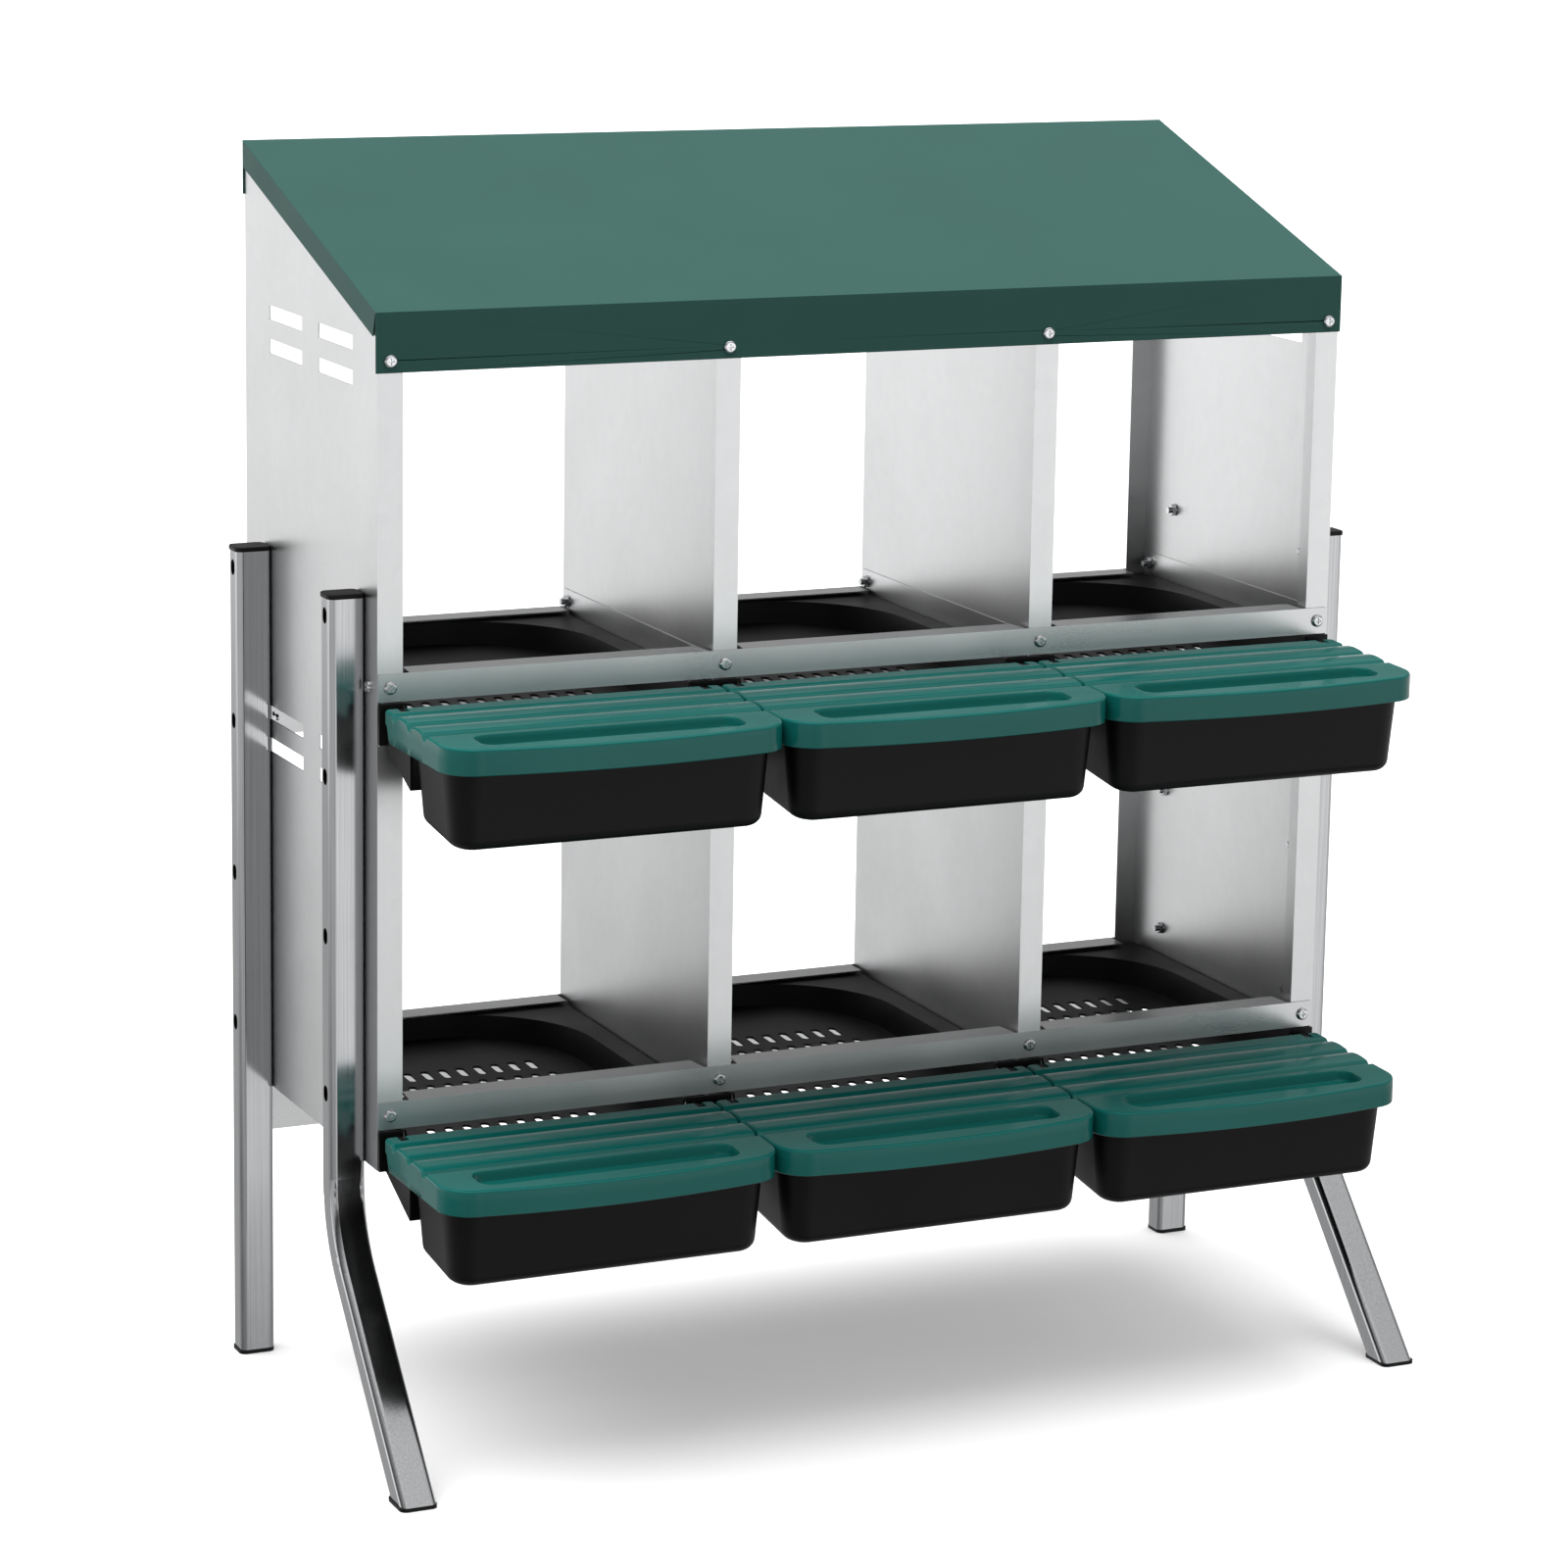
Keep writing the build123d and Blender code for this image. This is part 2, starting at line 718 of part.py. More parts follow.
front_foot_y = leg_centres[0] - (bend_corner - leg_foot) * tan(rake)
with BuildPart() as front_foot:
    with BuildSketch(Plane.XY.offset(leg_foot)):
        with Locations((leg_middle_x, front_foot_y)):
            Rectangle(leg_width, leg_depth)
    extrude(amount=14)
    add(front_leg_tube(leg_wall + plug_gap), mode=Mode.INTERSECT)
    with BuildSketch():
        with Locations((leg_middle_x - 0.5, front_foot_y)):
            RectangleRounded(leg_width + 1, leg_depth / cos(rake) + 2, leg_corner)
    extrude(amount=leg_foot)

leg_pieces = {
    "leg_front": front_leg.part,
    "leg_rear": rear_leg.part,
    "leg_cap_front": leg_cap(leg_centres[0]),
    "leg_cap_rear": leg_cap(leg_centres[1]),
    "leg_foot_front": front_foot.part,
    "leg_foot_rear": rear_foot.part,
}
for name, piece in leg_pieces.items():
    save(piece, f"{name}_left")
    save(piece.mirror(Plane.YZ.offset(centre_x)), f"{name}_right")

# ---------------------------------------------------------------- fasteners
# Each is drawn along +Z with its seat at Z = 0 and its shank below.
def screw(shank_radius, shank_length, head_radius, head_height):
    with BuildPart() as part:
        Cylinder(shank_radius, shank_length, align=(Align.CENTER, Align.CENTER, Align.MAX))
        with BuildSketch():
            Circle(head_radius)
        extrude(amount=head_height)
        fillet(part.faces().sort_by(Axis.Z)[-1].edges(), 0.7 * head_height)
        with BuildSketch(Plane.XY.offset(head_height)):
            Rectangle(head_radius, head_radius / 5)
            Rectangle(head_radius / 5, head_radius)
        extrude(amount=-0.5 * head_height, mode=Mode.SUBTRACT)
    return part.part


def nut(hole_radius, across_flats):
    with BuildPart() as part:
        with BuildSketch():
            Circle(0.6 * across_flats)
        extrude(amount=nut_flange)
        with BuildSketch(Plane.XY.offset(nut_flange)):
            RegularPolygon(across_flats / 2, 6, major_radius=False)
        extrude(amount=nut_height - nut_flange)
        Cylinder(hole_radius, 3 * nut_height, mode=Mode.SUBTRACT)
    return part.part


def fasteners(piece, name, places):
    """One node of identical separate fasteners. A place is a seat and the way its head points."""
    with BuildPart() as group:
        for seat, outward in places:
            add(piece.moved(Plane(origin=seat, z_dir=outward).location))
    save(group.part, name)


small_screw = screw(screw_radius, 9.0, screw_head_radius, screw_head_height)
small_nut = nut(screw_radius + 0.05, 7.5)
large_bolt = screw(bolt_radius, 10.5, bolt_head_radius, bolt_head_height)
large_nut = nut(bolt_radius + 0.05, 9.5)
front, back, left, right = (0, -1, 0), (0, 1, 0), (-1, 0, 0), (1, 0, 0)

rail_places = [(x, z + rail_height / 2) for x in screw_columns for z in tiers.values()]
fasteners(small_screw, "rail_screws", [((x, -rail_sheet, z), front) for x, z in rail_places])
fasteners(small_nut, "rail_nuts", [((x, sheet, z), back) for x, z in rail_places])
roof_places = [(x, roof_screw_height) for x in screw_columns]
fasteners(small_screw, "roof_screws", [((x, -roof_sheet, z), front) for x, z in roof_places])
fasteners(small_nut, "roof_nuts", [((x, sheet, z), back) for x, z in roof_places])
rear_places = [(x, z) for x in screw_columns for z in rear_screw_heights]
rear_seat = body_depth + rail_sheet
fasteners(small_screw, "rear_rail_screws", [((x, rear_seat, z), back) for x, z in rear_places])
fasteners(small_nut, "rear_rail_nuts", [((x, body_depth - sheet, z), front) for x, z in rear_places])

leg_bolts = []
leg_nuts = []
for y in leg_centres:
    for z in leg_bolt_heights:
        leg_bolts += [((-leg_wall, y, z), left), ((body_width + leg_wall, y, z), right)]
        leg_nuts += [((sheet, y, z), right), ((body_width - sheet, y, z), left)]
fasteners(large_bolt, "leg_bolts", leg_bolts)
fasteners(large_nut, "leg_nuts", leg_nuts)

runner_bolts = []
runner_nuts = []
for y in runner_bolt_places:
    z = tiers["upper"] + runner_bolt_height
    runner_bolts += [((0, y, z), left), ((body_width, y, z), right)]
    runner_nuts += [((2 * sheet, y, z), right), ((body_width - 2 * sheet, y, z), left)]
    for i in range(1, columns):
        runner_bolts.append(((i * pitch + 2 * sheet, y, z), right))
        runner_nuts.append(((i * pitch - sheet, y, z), left))
fasteners(large_bolt, "runner_bolts", runner_bolts)
fasteners(large_nut, "runner_nuts", runner_nuts)
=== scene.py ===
from math import cos, pi, radians, sin, sqrt

import bmesh
import bpy
from mathutils import Matrix, Vector


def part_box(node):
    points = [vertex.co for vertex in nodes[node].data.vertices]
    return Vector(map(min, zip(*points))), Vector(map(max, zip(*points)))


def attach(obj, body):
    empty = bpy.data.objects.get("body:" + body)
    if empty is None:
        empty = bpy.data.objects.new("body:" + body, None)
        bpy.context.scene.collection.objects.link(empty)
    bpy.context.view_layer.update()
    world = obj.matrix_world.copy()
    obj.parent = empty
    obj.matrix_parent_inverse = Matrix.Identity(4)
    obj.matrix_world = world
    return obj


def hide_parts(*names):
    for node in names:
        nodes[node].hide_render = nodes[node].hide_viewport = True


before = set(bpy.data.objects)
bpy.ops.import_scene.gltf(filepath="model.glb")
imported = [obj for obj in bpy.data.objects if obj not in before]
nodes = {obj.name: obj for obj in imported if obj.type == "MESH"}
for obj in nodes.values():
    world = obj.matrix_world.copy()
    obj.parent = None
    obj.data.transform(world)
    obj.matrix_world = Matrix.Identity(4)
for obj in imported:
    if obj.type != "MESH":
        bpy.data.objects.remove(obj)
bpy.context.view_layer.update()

scene = bpy.context.scene
MM = 0.001

# ---------------------------------------------------------------- node helpers


def tree_of(material):
    material.use_nodes = True
    tree = material.node_tree
    return tree, tree.nodes["Principled BSDF"]


def add_node(tree, kind, **settings):
    node = tree.nodes.new(kind)
    for key, value in settings.items():
        setattr(node, key, value)
    return node


def noise(tree, vector, scale, detail=4.0, rough=0.55, distortion=0.0):
    node = add_node(tree, "ShaderNodeTexNoise")
    node.inputs["Scale"].default_value = scale
    node.inputs["Detail"].default_value = detail
    node.inputs["Roughness"].default_value = rough
    node.inputs["Distortion"].default_value = distortion
    tree.links.new(vector, node.inputs["Vector"])
    return node.outputs["Fac"]


def stretched(tree, vector, scale):
    node = add_node(tree, "ShaderNodeMapping")
    node.inputs["Scale"].default_value = scale
    tree.links.new(vector, node.inputs["Vector"])
    return node.outputs["Vector"]


def spread(tree, value, low, high, source=(0.3, 0.7), shape="LINEAR"):
    """Maps a value from its source span to low..high, held at the ends."""
    node = add_node(tree, "ShaderNodeMapRange", interpolation_type=shape)
    node.inputs["From Min"].default_value = source[0]
    node.inputs["From Max"].default_value = source[1]
    node.inputs["To Min"].default_value = low
    node.inputs["To Max"].default_value = high
    tree.links.new(value, node.inputs["Value"])
    return node.outputs["Result"]


def between(tree, factor, first, second):
    """A colour from first (factor 0) to second (factor 1)."""
    node = add_node(tree, "ShaderNodeMix", data_type="RGBA")
    tree.links.new(factor, node.inputs[0])
    for socket, colour in ((node.inputs[6], first), (node.inputs[7], second)):
        if hasattr(colour, "links"):
            tree.links.new(colour, socket)
        else:
            socket.default_value = (*colour, 1.0)
    return node.outputs[2]


def sum_of(tree, first, second, share):
    """first + share * second."""
    node = add_node(tree, "ShaderNodeMath", operation="MULTIPLY_ADD")
    tree.links.new(second, node.inputs[0])
    node.inputs[1].default_value = share
    tree.links.new(first, node.inputs[2])
    return node.outputs[0]


def smooth(tree, value, low, high, source):
    """The same with a soft start and end."""
    return spread(tree, value, low, high, source, "SMOOTHSTEP")


def blend(tree, factor, first, second):
    """A value from first (factor 0) to second (factor 1)."""
    node = add_node(tree, "ShaderNodeMix", data_type="FLOAT")
    tree.links.new(factor, node.inputs[0])
    for socket, value in ((node.inputs[2], first), (node.inputs[3], second)):
        if hasattr(value, "links"):
            tree.links.new(value, socket)
        else:
            socket.default_value = value
    return node.outputs[0]


def calculate(tree, operation, first, second):
    node = add_node(tree, "ShaderNodeMath", operation=operation)
    for socket, value in ((node.inputs[0], first), (node.inputs[1], second)):
        if hasattr(value, "links"):
            tree.links.new(value, socket)
        else:
            socket.default_value = value
    return node.outputs[0]


def relief(tree, shader, height, distance, strength=1.0):
    node = add_node(tree, "ShaderNodeBump")
    node.inputs["Strength"].default_value = strength
    node.inputs["Distance"].default_value = distance
    tree.links.new(height, node.inputs["Height"])
    tree.links.new(node.outputs["Normal"], shader.inputs["Normal"])


def place(tree):
    return add_node(tree, "ShaderNodeTexCoord").outputs["Object"]


# ---------------------------------------------------------------- materials
STEEL = (0.67, 0.675, 0.68)
RAIL_STEEL = (0.58, 0.585, 0.59)
STAINED, CLEAN = 0.93, 1.03  # darkest and lightest tone of a sheet against its base colour


def galvanised(name, grain, base, roughness, spangle=0.035, bump=0.12):
    """Zinc-coated sheet: rolled grain along one axis, faint zinc crystals, soft cloudy staining."""
    material = bpy.data.materials.new(name)
    tree, shader = tree_of(material)
    here = place(tree)
    lines = noise(tree, stretched(tree, here, grain), 1.0, 5.0, 0.6)
    clouds = noise(tree, here, 7.0, 3.0, 0.5)
    crystals = add_node(tree, "ShaderNodeTexVoronoi", feature="F1")
    crystals.inputs["Scale"].default_value = 110.0
    crystals.inputs["Randomness"].default_value = 1.0
    tree.links.new(stretched(tree, here, (1.0, 1.0, 0.8)), crystals.inputs["Vector"])
    parts = add_node(tree, "ShaderNodeSeparateColor")
    tree.links.new(crystals.outputs["Color"], parts.inputs["Color"])
    mottled = sum_of(tree, clouds, parts.outputs[0], 4.0 * spangle)
    dark = tuple(STAINED * c for c in base)
    light = tuple(CLEAN * c for c in base)
    tone = between(tree, spread(tree, mottled, 0.0, 1.0, (0.35, 0.75)), dark, light)
    tree.links.new(tone, shader.inputs["Base Color"])
    patchy = sum_of(tree, sum_of(tree, clouds, lines, 0.5), parts.outputs[1], 3.0 * spangle)
    tree.links.new(
        spread(tree, patchy, roughness - 0.02, roughness + 0.04, (0.5, 1.1)), shader.inputs["Roughness"]
    )
    shader.inputs["Metallic"].default_value = 1.0
    relief(tree, shader, sum_of(tree, lines, parts.outputs[2], 0.25), 0.00001, bump)
    return material


def plated_tube(name):
    """Bright plated leg tube: drawn streaks along its length and a slightly wavy surface."""
    material = bpy.data.materials.new(name)
    tree, shader = tree_of(material)
    here = place(tree)
    streaks = noise(tree, stretched(tree, here, (700.0, 700.0, 5.0)), 1.0, 4.0, 0.6)
    clouds = noise(tree, here, 16.0, 3.0, 0.5)
    tree.links.new(
        between(tree, spread(tree, streaks, 0.0, 1.0), (0.34, 0.345, 0.355), (0.44, 0.445, 0.455)),
        shader.inputs["Base Color"],
    )
    tree.links.new(
        spread(tree, sum_of(tree, clouds, streaks, 0.6), 0.10, 0.18, (0.5, 1.1)), shader.inputs["Roughness"]
    )
    shader.inputs["Metallic"].default_value = 1.0
    relief(tree, shader, sum_of(tree, clouds, streaks, 0.15), 0.0003, 0.2)
    return material


def zinc_hardware(name):
    """Screws, bolts and nuts: zinc plated, slightly stained."""
    material = bpy.data.materials.new(name)
    tree, shader = tree_of(material)
    here = place(tree)
    grain = noise(tree, here, 420.0, 4.0, 0.6)
    stains = noise(tree, here, 60.0, 2.0, 0.5)
    tree.links.new(
        between(tree, spread(tree, stains, 0.0, 1.0), (0.52, 0.53, 0.54), (0.72, 0.73, 0.74)),
        shader.inputs["Base Color"],
    )
    tree.links.new(spread(tree, grain, 0.16, 0.34), shader.inputs["Roughness"])
    shader.inputs["Metallic"].default_value = 1.0
    relief(tree, shader, grain, 0.00004, 0.3)
    return material


def roof_paint(name):
    """Powder coat: fine orange peel and a little uneven dust."""
    material = bpy.data.materials.new(name)
    tree, shader = tree_of(material)
    here = place(tree)
    peel = noise(tree, here, 900.0, 3.0, 0.5)
    waves = noise(tree, here, 9.0, 3.0, 0.5)
    tree.links.new(
        between(tree, spread(tree, waves, 0.0, 1.0), (0.026, 0.087, 0.074), (0.031, 0.096, 0.081)),
        shader.inputs["Base Color"],
    )
    tree.links.new(
        spread(tree, sum_of(tree, waves, peel, 0.5), 0.36, 0.46, (0.5, 1.0)), shader.inputs["Roughness"]
    )
    shader.inputs["IOR"].default_value = 1.18
    relief(tree, shader, peel, 0.00003, 0.25)
    return material


def gloss_plastic(name):
    """Moulded lid: deep green with a sheen, faint flow marks and handling scuffs."""
    material = bpy.data.materials.new(name)
    tree, shader = tree_of(material)
    here = place(tree)
    flow = noise(tree, stretched(tree, here, (5.0, 22.0, 22.0)), 1.0, 4.0, 0.5, 0.6)
    scuffs = noise(tree, stretched(tree, here, (90.0, 260.0, 90.0)), 1.0, 6.0, 0.7)
    micro = noise(tree, here, 700.0, 2.0, 0.5)
    tree.links.new(
        between(tree, spread(tree, flow, 0.0, 1.0), (0.0035, 0.108, 0.094), (0.0055, 0.126, 0.112)),
        shader.inputs["Base Color"],
    )
    tree.links.new(
        spread(tree, sum_of(tree, scuffs, flow, 0.4), 0.13, 0.22, (0.5, 0.95)), shader.inputs["Roughness"]
    )
    shader.inputs["IOR"].default_value = 1.3
    relief(tree, shader, sum_of(tree, flow, micro, 0.02), 0.0006, 0.10)
    return material


def black_plastic(name, low, high):
    """Moulded black plastic with a fine even grain."""
    material = bpy.data.materials.new(name)
    tree, shader = tree_of(material)
    here = place(tree)
    grain = noise(tree, here, 1400.0, 2.0, 0.5)
    clouds = noise(tree, here, 12.0, 3.0, 0.55)
    tree.links.new(
        between(tree, spread(tree, clouds, 0.0, 1.0), (0.0026, 0.0026, 0.0027), (0.0046, 0.0046, 0.0047)),
        shader.inputs["Base Color"],
    )
    tree.links.new(
        spread(tree, sum_of(tree, clouds, grain, 0.4), low, high, (0.45, 0.95)), shader.inputs["Roughness"]
    )
    shader.inputs["IOR"].default_value = 1.3
    relief(tree, shader, grain, 0.00005, 0.25)
    return material


sheet_up = galvanised("galvanised_sheet", (420.0, 420.0, 3.0), STEEL, 0.33, 0.025, 0.08)
sheet_across = galvanised("galvanised_rail", (3.0, 300.0, 300.0), RAIL_STEEL, 0.28, 0.004, 0.01)
sheet_deep = galvanised("galvanised_runner", (420.0, 3.0, 420.0), STEEL, 0.30, 0.02)
tube = plated_tube("plated_tube")
hardware = zinc_hardware("zinc_hardware")
paint = roof_paint("roof_powder_coat")
lid_plastic = gloss_plastic("lid_plastic")
tray_plastic = black_plastic("tray_plastic", 0.36, 0.50)
cap_plastic = black_plastic("cap_plastic", 0.40, 0.55)


def dress(obj, material):
    obj.data.materials.clear()
    obj.data.materials.append(material)


def material_for(name):
    if name.startswith(("side_panel", "partition")):
        return sheet_up
    if name.startswith(("front_rail", "rear_rail_lower", "rear_rail_upper")):
        return sheet_across
    if name.startswith("tray_runner"):
        return sheet_deep
    if name.startswith(("leg_cap", "leg_foot")):
        return cap_plastic
    if name.startswith(("leg_front", "leg_rear")):
        return tube
    if name.startswith("nest_tray"):
        return tray_plastic
    if name.startswith("basket_lid"):
        return lid_plastic
    if name == "roof":
        return paint
    return hardware


for name, node in nodes.items():
    dress(node, material_for(name))


def soften(node, width, angle=35.0):
    """Small rounding along a node's sharp edges, so that folds and rims catch the light."""
    weld = node.modifiers.new("weld", "WELD")
    weld.merge_threshold = 0.00001
    bevel = node.modifiers.new("bevel", "BEVEL")
    bevel.width = width * MM
    bevel.segments = 2
    bevel.limit_method = "ANGLE"
    bevel.angle_limit = radians(angle)
    bevel.harden_normals = True


for name, node in nodes.items():
    if name.startswith("front_rail") or name == "roof":
        soften(node, 0.5)

# ---------------------------------------------------------------- basket lids
# Drawn in millimetres about the middle of one nest: X across it, Y from the body's front face,
# Z from the underside of the front rail. The nests' middles come from the CAD lids.
HALF = 151.8
REAR = -12.0
REAR_CORNER = 5.0
SIDE_END = -138.0  # where the front corners begin
CORNER = 30.0
SIDE_FRONT = -168.0
BOW = 10.0  # how much further forward the front edge comes in the middle
STRAIGHT = HALF - CORNER
ROUND = 2.6  # radius of the rolled top edge
WALL = 2.2
SKIRT_BOTTOM = -30.0
SKIRT_CUT = 15.0  # how much shorter the skirt is at the hinge edge
REAR_TOP = -3.0
FALL, FALL_LENGTH = 5.0, 166.0

GROOVES = (-37.0, -72.5, -108.0)
GROOVE_HALF, GROOVE_DEPTH = 6.5, 4.2
RIDGES = (-54.5, -90.0)
RIDGE_HALF, RIDGE_RISE = 17.0, 1.2

GRIP_MIDDLE = -139.0
GRIP_HALF_X, GRIP_HALF_Y, GRIP_ROUND = 105.0, 5.0, 13.0
GRIP_WALL, GRIP_DEPTH = 3.4, 8.6

REAR_STRIP = -17.5  # the grid's bands end at these Y
RIDGE_BAND = -119.0
GRIP_BAND = -160.5

HINGE_X = 137.0
HINGE_Y, HINGE_Z = -18.0, -8.5
PIN_RADIUS, PIN_LENGTH = 2.6, 9.0
RIB_OUT, RIB_HALF = 5.0, 1.0
ARM_GAP = 4.0  # half the width of the opening round a hinge arm


def level(y):
    return REAR_TOP + (y - REAR) * FALL / FALL_LENGTH


def soft_step(value):
    t = min(1.0, max(0.0, value))
    return t * t * (3 - 2 * t)


def groove(y, middle):
    d = min(1.0, abs(y - middle) / GROOVE_HALF)
    return -GROOVE_DEPTH * (0.5 + 0.5 * cos(pi * d))


def recess(x, y):
    """The long oval grip recess, soft-walled, as a height to add."""
    dx = abs(x) - GRIP_HALF_X
    dy = abs(y - GRIP_MIDDLE) - GRIP_HALF_Y
    out = sqrt(max(dx, 0.0) ** 2 + max(dy, 0.0) ** 2) + min(max(dx, dy), 0.0) - GRIP_ROUND
    return -GRIP_DEPTH * soft_step(-out / GRIP_WALL)


def lid_height(x, y):
    z = level(y)
    for middle in GROOVES:
        z += groove(y, middle)
    for middle in RIDGES:
        u = (y - middle) / RIDGE_HALF
        if abs(u) < 1:
            z += RIDGE_RISE * (1 - u * u) ** 2
    return z + recess(x, y)


def front_edge(x, inset):
    """Y of the lid's front outline, moved in by inset."""
    a = abs(x)
    if a <= STRAIGHT:
        return SIDE_FRONT + inset - BOW * (1 - (a / STRAIGHT) ** 2)
    r = CORNER - inset
    return SIDE_END - sqrt(max(0.0, r * r - (a - STRAIGHT) ** 2))


def rear_edge(x, inset):
    """Y of the lid's rear outline, moved in by inset."""
    r = REAR_CORNER - inset
    a = abs(x) - (HALF - REAR_CORNER)
    if a <= 0:
        return REAR - inset
    return REAR - REAR_CORNER + sqrt(max(0.0, r * r - a * a))


def stations():
    """X of the grid's lines across the lid: close where the recess and the corners bend."""
    places = [i * 5.0 for i in range(20)]
    places += [97.0 + 0.8 * i for i in range(31)]
    steps = 22
    reach = CORNER - ROUND
    places += [STRAIGHT + reach * sin(pi / 2 * i / steps) for i in range(1, steps + 1)]
    return [-x for x in reversed(places[1:])] + places


def rows():
    """(band, share) of each line from the rear edge to the front edge."""
    lines = [("rear", i / 5) for i in range(5)]
    lines += [("ridges", i / 84) for i in range(84)]
    lines += [("grip", i / 58) for i in range(58)]
    return lines + [("nose", i / 14) for i in range(15)]


def lid_point(x, band, share):
    rear, front = rear_edge(x, ROUND), front_edge(x, ROUND)
    grip_end = GRIP_BAND
    if abs(x) > STRAIGHT:
        reach = (GRIP_BAND - RIDGE_BAND) / (SIDE_FRONT + ROUND - RIDGE_BAND)
        grip_end = RIDGE_BAND + (front - RIDGE_BAND) * reach
    spans = {
        "rear": (rear, REAR_STRIP),
        "ridges": (REAR_STRIP, RIDGE_BAND),
        "grip": (RIDGE_BAND, grip_end),
        "nose": (grip_end, front),
    }
    low, high = spans[band]
    y = low + (high - low) * share
    return Vector((x, y, lid_height(x, y)))


def hoop(points, normals, out, drop):
    return [p + n * out - Vector((0, 0, drop)) for p, n in zip(points, normals)]


def lid_shell():
    """Outer skin of one lid: the top as a fine grid, a rolled edge round it and the skirt below."""
    bm = bmesh.new()
    across = stations()
    down = rows()
    grid = [[bm.verts.new(lid_point(x, band, share)) for x in across] for band, share in down]
    for upper, lower in zip(grid, grid[1:]):
        for i in range(len(across) - 1):
            bm.faces.new((upper[i], lower[i], lower[i + 1], upper[i + 1]))
    edge = list(grid[0]) + [row[-1] for row in grid[1:-1]] + list(reversed(grid[-1]))
    edge += [row[0] for row in reversed(grid[1:-1])]
    points = [v.co.copy() for v in edge]
    normals = []
    for i, p in enumerate(points):
        ahead = points[(i + 1) % len(points)] - points[i - 1]
        normals.append(Vector((-ahead.y, ahead.x, 0)).normalized())
    ring = edge
    steps = 6
    for k in range(1, steps + 1):
        a = pi / 2 * k / steps
        level_points = hoop(points, normals, ROUND * sin(a), ROUND * (1 - cos(a)))
        ring = skin_ring(bm, ring, level_points)
    for share in (0.34, 0.67, 0.97):
        ring = skin_ring(bm, ring, [
            Vector((p.x, p.y, p.z + (skirt_bottom(p.y) - p.z) * share)) for p in level_points
        ])
    skin_ring(bm, ring, [
        Vector((p.x, p.y, skirt_bottom(p.y))) - n * 0.5 for p, n in zip(level_points, normals)
    ])
    return bm


def skirt_bottom(y):
    """The skirt is cut short at the hinge edge so that the lid can swing."""
    return SKIRT_BOTTOM + SKIRT_CUT * soft_step((y + 26.0) / 8.0)


def skin_ring(bm, ring, places):
    """Adds the next ring of points and joins it to the last one."""
    fresh = [bm.verts.new(p) for p in places]
    count = len(ring)
    for i in range(count):
        j = (i + 1) % count
        bm.faces.new((ring[i], ring[j], fresh[j], fresh[i]))
    return fresh


def box_at(bm, low, high):
    for v in bmesh.ops.create_cube(bm, size=1.0)["verts"]:
        v.co = Vector(((low[i] + high[i]) / 2 + v.co[i] * (high[i] - low[i]) for i in range(3)))


def applied(name, bm, modifiers):
    """The mesh that a temporary object makes with these modifiers."""
    mesh = bpy.data.meshes.new(name)
    bm.to_mesh(mesh)
    bm.free()
    obj = bpy.data.objects.new(name, mesh)
    scene.collection.objects.link(obj)
    for kind, settings in modifiers:
        modifier = obj.modifiers.new(kind.lower(), kind)
        for key, value in settings.items():
            setattr(modifier, key, value)
    bpy.context.view_layer.update()
    made = bpy.data.meshes.new_from_object(obj.evaluated_get(bpy.context.evaluated_depsgraph_get()))
    bpy.data.objects.remove(obj)
    return made


def hinge_parts(bm):
    """Two pairs of ribs with a pin between them, under the rear edge."""
    profile = [
        (-13.0, level(-13.0) - 1.0),
        (-13.0, -10.5),
        (HINGE_Y, -12.5),
        (-22.0, -12.5),
        (-28.0, level(-28.0) - 1.6),
    ]
    for middle in (-HINGE_X, HINGE_X):
        for rib in (-RIB_OUT, RIB_OUT):
            rings = []
            for x in (middle + rib - RIB_HALF, middle + rib + RIB_HALF):
                rings.append([bm.verts.new((x, y, z)) for y, z in profile])
            bm.faces.new(rings[0])
            bm.faces.new(list(reversed(rings[1])))
            for i in range(len(profile)):
                j = (i + 1) % len(profile)
                bm.faces.new((rings[0][i], rings[1][i], rings[1][j], rings[0][j]))
        turn = Matrix.Translation((middle, HINGE_Y, HINGE_Z)) @ Matrix.Rotation(pi / 2, 4, "Y")
        bmesh.ops.create_cone(
            bm,
            cap_ends=True,
            segments=24,
            radius1=PIN_RADIUS,
            radius2=PIN_RADIUS,
            depth=PIN_LENGTH,
            matrix=turn,
        )


def lid_mesh():
    cutter = bmesh.new()
    for middle in (-HINGE_X, HINGE_X):
        box_at(cutter, (middle - ARM_GAP, -25.0, -16.0), (middle + ARM_GAP, -6.0, 6.0))
    cutter_mesh = bpy.data.meshes.new("lid_cutter")
    cutter.to_mesh(cutter_mesh)
    cutter.free()
    cutter_object = bpy.data.objects.new("lid_cutter", cutter_mesh)
    scene.collection.objects.link(cutter_object)
    shell = applied("lid_shell", lid_shell(), [
        ("SOLIDIFY", {"thickness": WALL, "offset": -1.0, "use_even_offset": True}),
        ("BOOLEAN", {"operation": "DIFFERENCE", "object": cutter_object, "solver": "EXACT"}),
    ])
    bpy.data.objects.remove(cutter_object)
    whole = bmesh.new()
    whole.from_mesh(shell)
    hinge_parts(whole)
    bmesh.ops.recalc_face_normals(whole, faces=whole.faces[:])
    whole.transform(Matrix.Scale(MM, 4))
    for face in whole.faces:
        face.smooth = True
    for corner in whole.edges:
        if corner.is_manifold and corner.calc_face_angle(0.0) > radians(38):
            corner.smooth = False
    mesh = bpy.data.meshes.new("basket_lid")
    whole.to_mesh(mesh)
    whole.free()
    mesh.materials.append(lid_plastic)
    return mesh


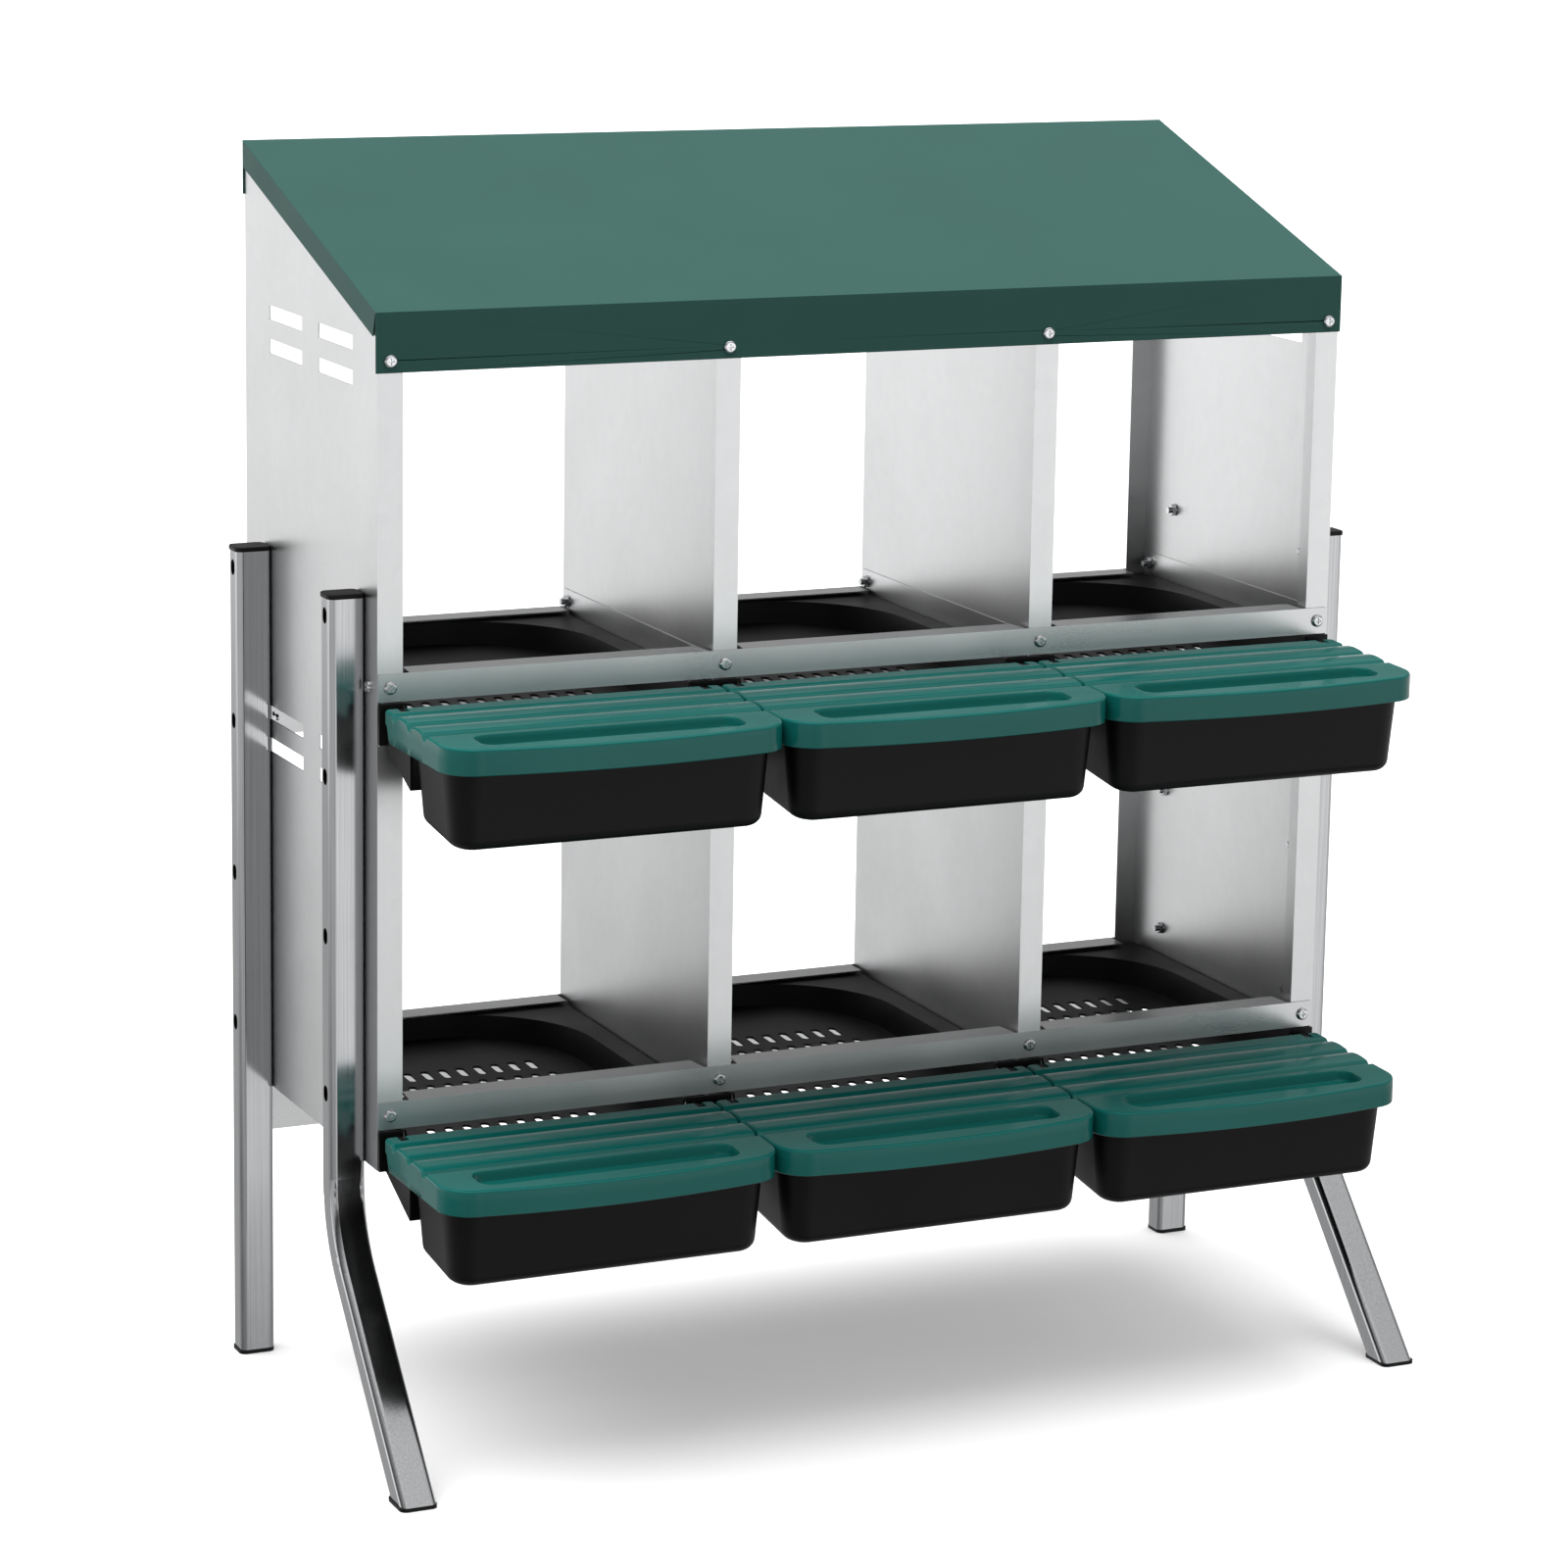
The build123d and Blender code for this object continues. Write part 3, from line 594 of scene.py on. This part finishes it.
shared_lid = lid_mesh()
for tier in ("lower", "upper"):
    for column in ("left", "middle", "right"):
        node = f"basket_lid_{tier}_{column}"
        low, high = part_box(node)
        lid = bpy.data.objects.new(f"lid_{tier}_{column}", shared_lid)
        scene.collection.objects.link(lid)
        lid.location = ((low.x + high.x) / 2, low.y - (SIDE_FRONT - BOW) * MM, low.z - SKIRT_BOTTOM * MM)
        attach(lid, f"lid_{tier}_{column}")
        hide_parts(node)

# ---------------------------------------------------------------- studio


def studio_world():
    """Surroundings as the sheet metal mirrors them: a bright band round the horizon, a darker floor and
    ceiling, and a dim room to the front left."""
    world = bpy.data.worlds.new("studio")
    scene.world = world
    world.use_nodes = True
    tree = world.node_tree
    background = tree.nodes["Background"]
    background.inputs["Color"].default_value = (1.0, 1.0, 1.0, 1.0)
    direction = add_node(tree, "ShaderNodeTexCoord").outputs["Generated"]
    parts = add_node(tree, "ShaderNodeSeparateXYZ")
    tree.links.new(direction, parts.inputs[0])
    x, y, z = parts.outputs
    floor_side = spread(tree, y, 0.30, 0.60, (-0.5, 0.5))
    band = spread(tree, x, 1.75, 1.04, (-0.52, -0.37))
    front_band = smooth(tree, y, 1.45, 0.0, (-0.7, -0.2))
    band = calculate(tree, "MAXIMUM", band, front_band)
    ceiling = spread(tree, z, 0.20, 1.25, (0.3, 0.95))
    unlit = sum_of(tree, calculate(tree, "MULTIPLY", x, -0.8), y, -0.6)
    lit = smooth(tree, unlit, 1.0, 0.50, (0.35, 0.80))
    above_floor = smooth(tree, sum_of(tree, z, y, -0.07), 0.0, 1.0, (-0.300, -0.210))
    to_ceiling = smooth(tree, z, 0.0, 1.0, (0.03, 0.24))
    upper = blend(tree, to_ceiling, band, ceiling)
    whole = blend(tree, above_floor, floor_side, upper)
    tree.links.new(calculate(tree, "MULTIPLY", whole, lit), background.inputs["Strength"])


def overhead(towards, strength, spread_angle):
    """The room's soft top light, even over the whole floor; it leaves no reflection of itself."""
    light = bpy.data.lights.new("overhead", "SUN")
    light.energy = strength
    light.angle = radians(spread_angle)
    obj = bpy.data.objects.new("overhead", light)
    scene.collection.objects.link(obj)
    obj.rotation_euler = Vector(towards).to_track_quat("Z", "Y").to_euler()
    obj.visible_glossy = False


def floor():
    """A pale floor, seen by the camera only; metal and paint mirror the studio's own lower half."""
    bm = bmesh.new()
    bmesh.ops.create_circle(bm, cap_ends=True, segments=96, radius=60.0)
    mesh = bpy.data.meshes.new("floor")
    bm.to_mesh(mesh)
    bm.free()
    obj = bpy.data.objects.new("floor", mesh)
    scene.collection.objects.link(obj)
    obj.location.z = -0.0004
    material = bpy.data.materials.new("floor")
    tree, shader = tree_of(material)
    shader.inputs["Base Color"].default_value = (0.84, 0.84, 0.84, 1.0)
    shader.inputs["Roughness"].default_value = 0.9
    shader.inputs["Emission Color"].default_value = (1.0, 1.0, 1.0, 1.0)
    shader.inputs["Emission Strength"].default_value = 0.30
    mesh.materials.append(material)
    obj.visible_glossy = False
    obj.visible_diffuse = False


def camera():
    """A long lens from the front left, a little above; the shift only sets the framing."""
    azimuth, pitch, roll = radians(-24.822), radians(11.1435), radians(0.9504)
    back = Vector((sin(azimuth) * cos(pitch), -cos(azimuth) * cos(pitch), sin(pitch)))
    right = Vector((cos(azimuth), sin(azimuth), 0.0))
    up = back.cross(right)
    right, up = right * cos(roll) + up * sin(roll), up * cos(roll) - right * sin(roll)
    data = bpy.data.cameras.new("camera")
    data.sensor_width = 36.0
    data.lens = 109.585
    data.shift_y = -0.08
    data.clip_end = 200.0
    obj = bpy.data.objects.new("camera", data)
    scene.collection.objects.link(obj)
    turn = Matrix((right, up, back)).transposed().to_4x4()
    obj.matrix_world = Matrix.Translation((-1.7842, -3.7559, 1.4635)) @ turn
    scene.camera = obj


studio_world()
floor()
overhead((-0.26, 0.12, 1.0), 3.45, 72.0)
camera()
scene.view_settings.view_transform = "Standard"
